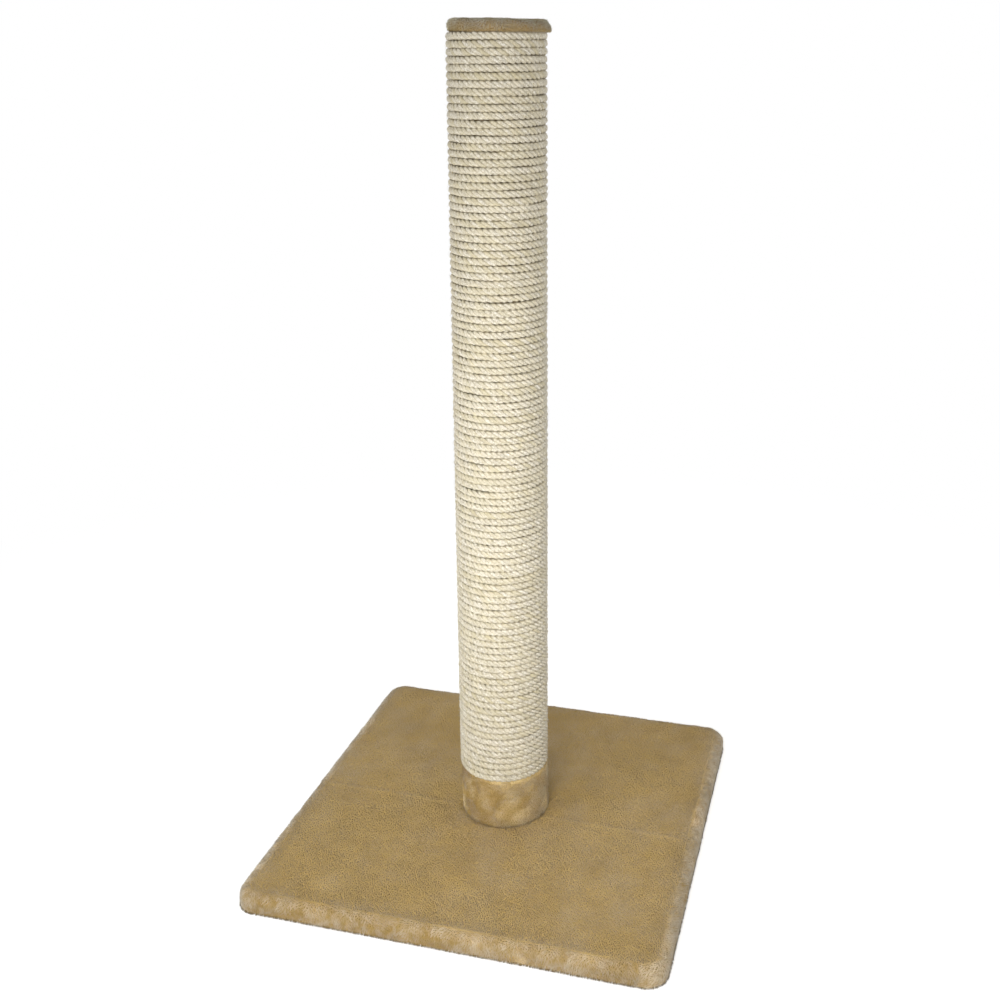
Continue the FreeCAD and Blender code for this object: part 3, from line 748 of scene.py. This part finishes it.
outermost = rope_radius + rope_diameter / 2
for strand in range(3):
    name = f"sisal_strand_{strand + 1}"
    phase = twist + strand * 2 * math.pi / 3
    offset = strand_offset * (1 + 0.09 * soft_noise(wander, 0.012, 60 + strand))
    line = (middle + outward * (offset * np.cos(phase))[:, None]
            + [0, 0, turn_squeeze] * (offset * np.sin(phase))[:, None])
    thick = (1 + 0.035 * soft_noise(wander, 0.05, 70 + strand)
             + 0.035 * soft_noise(wander, 0.009, 75 + strand))
    curve = bpy.data.curves.new(name, "CURVE")
    curve.dimensions = "3D"
    curve.bevel_depth = strand_radius
    curve.bevel_resolution = 2
    spline = curve.splines.new("POLY")
    spline.points.add(count - 1)
    spline.points.foreach_set("co", np.c_[line, np.ones(count)].astype(np.float32).ravel())
    spline.points.foreach_set("radius", thick.astype(np.float32))
    swept = bpy.data.objects.new(name, curve)
    mesh = bpy.data.meshes.new_from_object(swept)
    bpy.data.objects.remove(swept)
    mesh.name = name
    form = bmesh.new()
    form.from_mesh(mesh)
    bmesh.ops.holes_fill(form, edges=[e for e in form.edges if e.is_boundary])
    bmesh.ops.recalc_face_normals(form, faces=form.faces)
    form.to_mesh(mesh)
    form.free()
    mesh.uv_layers.remove(mesh.uv_layers[0])
    points = places_of(mesh)
    ring = np.arange(len(points)) // strand_sides
    from_line = points - line[ring]
    spun = (np.arctan2(from_line[:, 2], (from_line * outward[ring]).sum(1))
            + fibre_twist * run[ring])
    fibre_at = np.stack([np.cos(spun), np.sin(spun), run[ring] / fibre_stretch], 1)
    mesh.attributes.new("fibre_place", "FLOAT_VECTOR", "POINT").data.foreach_set(
        "vector", fibre_at.astype(np.float32).ravel())
    out = np.hypot(points[:, 0], points[:, 1])
    # How deep each point lies between the turns, for the painted shade there.
    point_values(mesh, "painted_groove_shade", np.clip((outermost - 0.0005 - out) / 0.0026, 0, 1))
    point_values(mesh, "tint", np.clip(0.25 * soft_noise(wander, 0.4, 80 + strand)
                                       + 0.15, 0, 0.6)[ring])
    # The flat map: the strand cut into rows one above the other, each a turn long.
    corner = np.empty(len(mesh.loops), np.int32)
    mesh.loops.foreach_get("vertex_index", corner)
    starts = np.empty(len(mesh.polygons), np.int32)
    mesh.polygons.foreach_get("loop_start", starts)
    face = np.repeat(np.arange(len(starts)), np.diff(np.r_[starts, len(corner)]))
    at = run[ring[corner]]
    first = np.minimum.reduceat(at, starts)[face]
    row = np.floor(first / turn_length)
    place_round = (corner % strand_sides).astype(float)
    spans = (np.maximum.reduceat(place_round, starts) - np.minimum.reduceat(place_round, starts))
    place_round += strand_sides * ((spans[face] > strand_sides / 2) & (place_round == 0))
    flat = mesh.uv_layers.new(name="OFBake")
    flat.uv.foreach_set("vector", np.stack(
        [(at - row * turn_length) / turn_length * 0.98 + 0.005,
         (row + place_round / strand_sides * 0.9 + 0.05) / rope_turns], 1
    ).astype(np.float32).ravel())
    mesh.polygons.foreach_set("use_smooth", np.ones(len(mesh.polygons), bool))
    mesh.materials.append(sisal)
    piece = bpy.data.objects.new(name, mesh)
    bpy.context.scene.collection.objects.link(piece)
    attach(piece, "root")
    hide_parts("sisal_rope")

# Loose ends: single fibres that have come out of the lay, thin and tapered.
loose = 4200
loose_root = 0.0038          # from the rope's middle, just inside its surface
at = dice.integers(0, count, loose)
round_rope = dice.normal(0, 0.6, loose)
section = outward[at] * np.cos(round_rope)[:, None] + [0, 0, 1] * np.sin(round_rope)[:, None]
along_rope = np.stack([-np.sin(angle[at]), np.cos(angle[at]), np.zeros(loose)], 1)
aims = (along_rope * (dice.choice([-1.0, 1.0], loose) * dice.uniform(0.6, 1, loose))[:, None]
        + [0, 0, 1] * dice.normal(0, 0.45, (loose, 1))
        + outward[at] * dice.uniform(0.02, 0.25, (loose, 1)))
aims *= (dice.uniform(0.004, 0.013, loose) / np.linalg.norm(aims, axis=1))[:, None]
loose_fibres = pile("sisal_loose_fibres", sisal, middle[at] + section * loose_root, aims,
                    dice.uniform(0.00030, 0.00050, loose), np.zeros(loose),
                    lambda points: np.stack(
                        [np.arctan2(points[:, 1], points[:, 0]) / 2 / math.pi + 0.5,
                         points[:, 2]], 1))
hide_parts("sisal_rope")

# Cap: a disc of the same plush, drawn over the cap's round of board, gathered under its rim and
# stapled, so that its pile bulges at the shoulder and its top is a little uneven.
cap_low, cap_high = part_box("cap_plush")
cap_radius = 0.0543          # backing, under the pile
cap_top = cap_high.z - 0.0036
cap_foot = cap_low.z
cap_shoulder = 0.0070
cap_hem = 0.0022
cap_hem_radius = 0.0431      # where the plush folded under the round of board ends
board_fit = 0.0501           # radius of the hollow that the board fills ...
board_underface = 0.0011     # ... and its foot, rounding and top above the cap's foot
board_rounding = 0.0090
board_upperface = 0.0103
cap_turn = math.radians(15)  # azimuth that the whole cap is pushed towards


def cap_profile(s):
    """Radius and height along the cap's backing, from the middle of its top to its hem."""
    flat = cap_radius - cap_shoulder
    arc = math.pi / 2 * cap_shoulder
    side = cap_top - cap_shoulder - cap_foot - cap_hem
    bent = np.clip((s - flat) / cap_shoulder, 0, math.pi / 2)
    hem = np.clip((s - flat - arc - side) / cap_hem, 0, math.pi / 2)
    radius = np.minimum(s, flat) + cap_shoulder * np.sin(bent) - cap_hem * (1 - np.cos(hem))
    z = (cap_top - cap_shoulder * (1 - np.cos(bent)) - np.clip(s - flat - arc, 0, side)
         - cap_hem * np.sin(hem))
    return radius, z, bent + hem


def cap_unevenness(points):
    """How far the cap's plush is pushed about, for points on its plain round shape."""
    azimuth = np.arctan2(points[:, 1], points[:, 0]) - cap_turn
    out = np.hypot(points[:, 0], points[:, 1]) / cap_radius
    moved = np.zeros_like(points)
    moved[:, 2] = (0.0007 * soft_noise(points, 0.055, 91) + 0.0004 * np.cos(azimuth + math.pi)
                   - 0.0022 * out ** 4 * (np.cos(azimuth) > 0) * np.cos(azimuth))
    swell = 0.0006 * soft_noise(points, 0.035, 92) * out ** 2
    low = np.clip((cap_top - points[:, 2]) / (cap_top - cap_foot), 0, 1)
    swell += 0.0024 * (low - 0.5) * np.cos(azimuth) * (out > 0.9)
    moved[:, :2] = points[:, :2] * (swell / cap_radius)[:, None]
    moved[:, :2] += 0.0032 * np.array([math.cos(cap_turn), math.sin(cap_turn)])
    moved[:, 2] *= np.clip(1.4 - 1.4 * low, 0, 1)
    return moved


whole = cap_radius - cap_shoulder + math.pi / 2 * (cap_shoulder + cap_hem)
whole += cap_top - cap_shoulder - cap_foot - cap_hem
form = bmesh.new()
radius, z, tilt = cap_profile(np.r_[np.linspace(0, 0.045, 7), np.linspace(0.048, whole, 16)])
profile = list(zip(radius, z))
profile += [(cap_hem_radius, cap_foot), (cap_hem_radius, cap_foot + board_underface),
            (board_fit, cap_foot + board_underface), (board_fit, cap_foot + board_rounding),
            (0.0482, cap_foot + board_upperface), (0.0, cap_foot + board_upperface)]
verts = [form.verts.new((r, 0, h)) for r, h in profile]
edges = [form.edges.new(pair) for pair in zip(verts[:-1], verts[1:])]
bmesh.ops.spin(form, geom=verts + edges, cent=(0, 0, 0), axis=(0, 0, 1), angle=2 * math.pi,
               steps=96, use_merge=True)
bmesh.ops.remove_doubles(form, verts=form.verts, dist=1e-6)
outer = [v for v in form.verts if v.co.z > cap_foot + 0.0108
         or math.hypot(v.co.x, v.co.y) > 0.0505]
moved = cap_unevenness(np.array([v.co for v in outer]))
for vert, by in zip(outer, moved):
    vert.co.x += by[0]
    vert.co.y += by[1]
    vert.co.z += by[2]
bmesh.ops.recalc_face_normals(form, faces=form.faces)
cap_mesh = bpy.data.meshes.new("cap_plush_disc")
form.to_mesh(cap_mesh)
form.free()
cap_plush = plush("tan plush, gathered", "#ab8450", "#bba979", "#cfcebd", 0.04, 6.0)
cap_mesh.materials.append(cap_plush)
# The backing takes part of the root colour: painted shade between the tufts.
point_values(cap_mesh, "tuft_height", np.full(len(cap_mesh.vertices), 0.40))
point_values(cap_mesh, "brushed", np.zeros(len(cap_mesh.vertices)))
cap = bpy.data.objects.new("cap_plush_disc", cap_mesh)
bpy.context.scene.collection.objects.link(cap)
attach(cap, "root")
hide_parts("cap_plush")

wide = 2 * cap_radius
x, y = stagger(wide, wide, tuft_spacing)
x, y = x - cap_radius, y - cap_radius
flat_radius = cap_radius - cap_shoulder
on_top = np.hypot(x, y) < flat_radius
s_top, a_top = np.hypot(x, y)[on_top], np.arctan2(y, x)[on_top]
u, v = stagger(2 * math.pi * cap_radius, whole - flat_radius, tuft_spacing)
s = np.r_[s_top, v + flat_radius]
azimuth = np.r_[a_top, u / cap_radius]
radius, z, tilt = cap_profile(s)
outward = np.stack([np.cos(azimuth), np.sin(azimuth), np.zeros_like(azimuth)], 1)
roots = outward * radius[:, None] + [0, 0, 1] * z[:, None]
normal = outward * np.sin(tilt)[:, None] + [0, 0, 1] * np.cos(tilt)[:, None]
downhill = outward * np.cos(tilt)[:, None] - [0, 0, 1] * np.sin(tilt)[:, None]
sideways = np.cross(normal, downhill)
plain = roots.copy()
roots = roots + cap_unevenness(plain) - root_sink * normal
swirl = 0.9 * soft_noise(plain, 0.04, 93) + dice.normal(0, 0.25, len(s))
lean = np.radians(64 + 7 * soft_noise(plain, 0.02, 94) + dice.normal(0, 5, len(s)))
long = cap_pile_length * dice.uniform(0.75, 1.15, len(s))
long *= np.where(z < cap_foot + 0.003, 0.7, 1.0)
aims = (normal * np.cos(lean)[:, None]
        + (downhill * np.cos(swirl)[:, None] + sideways * np.sin(swirl)[:, None])
        * np.sin(lean)[:, None]) * long[:, None]
at_rim = np.exp(-((s - flat_radius - 0.003) / 0.006) ** 2)
brushed = (0.20 + 0.45 * at_rim + 0.18 * soft_noise(plain, 0.02, 95)
           - 0.9 * np.clip((cap_foot + 0.005 - z) / 0.005, 0, 1)
           + dice.normal(0, 0.08, len(s)))
cap_pile = pile("cap_pile", cap_plush, roots, aims,
                tuft_width * dice.uniform(0.85, 1.15, len(s)), brushed,
                lambda points: points[:, :2] * (1 + np.clip(cap_high.z - points[:, 2], 0, 1)
                                                / 0.056)[:, None] / 0.16 + 0.5)
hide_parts("cap_plush")
